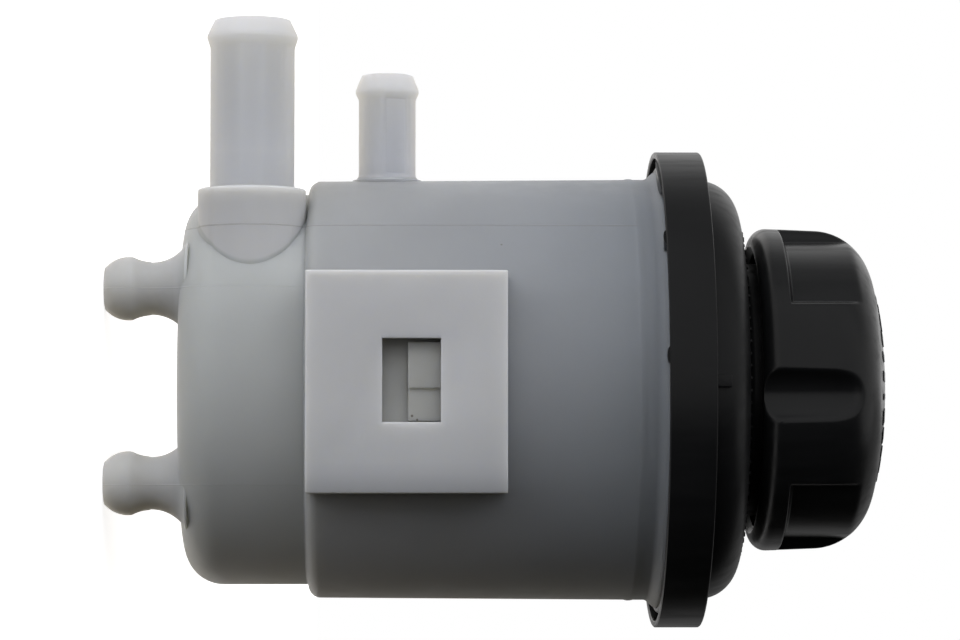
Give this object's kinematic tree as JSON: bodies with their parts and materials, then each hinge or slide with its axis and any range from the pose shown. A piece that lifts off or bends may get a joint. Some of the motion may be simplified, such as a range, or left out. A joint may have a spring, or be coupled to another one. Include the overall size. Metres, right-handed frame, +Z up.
{
  "type": "power steering reservoir",
  "caption": "Upright moulded fluid reservoir for power steering, with hose pipes, a slide-on bracket, grommet pegs, a welded lid and a threaded filler cap.",
  "frame": {"origin": "on the tank's axis, in the flat bottom face that the two grommet pegs stand on", "axes": "+Z up the tank's axis to the filler cap, -Y the side with the slide-on bracket, -X the way both hose pipes point"},
  "size_m": [0.1155, 0.0924, 0.1495],
  "materials": {
    "natural_plastic": "milky natural moulded plastic",
    "black_plastic": "satin black moulded plastic",
    "seal_rubber": "matte black rubber",
    "filter_plastic": "white moulded plastic",
    "filter_gauze": "fine woven gauze"
  },
  "bodies": {
    "tank": {"reservoir_body": "natural_plastic", "lid": "black_plastic", "filter_frame": "filter_plastic", "filter_mesh": "filter_gauze"},
    "seal": {"cap_gasket": "seal_rubber"},
    "cap": {"filler_cap": "black_plastic", "vent_baffle": "black_plastic", "dipstick": "black_plastic"}
  },
  "joints": [
    {"name": "cap_lift", "type": "slide", "parent": "tank", "child": "seal", "axis": [0, 0, 1], "range_m": [0, 0.012]},
    {"name": "cap_turn", "type": "hinge", "parent": "seal", "child": "cap", "pos_m": [0, 0, 0.1107], "axis": [0, 0, 1], "range_deg": [0, 541]}
  ],
  "couplings": [
    {"joint": "cap_turn", "follows": "cap_lift", "rad_per_m": 785.4}
  ]
}
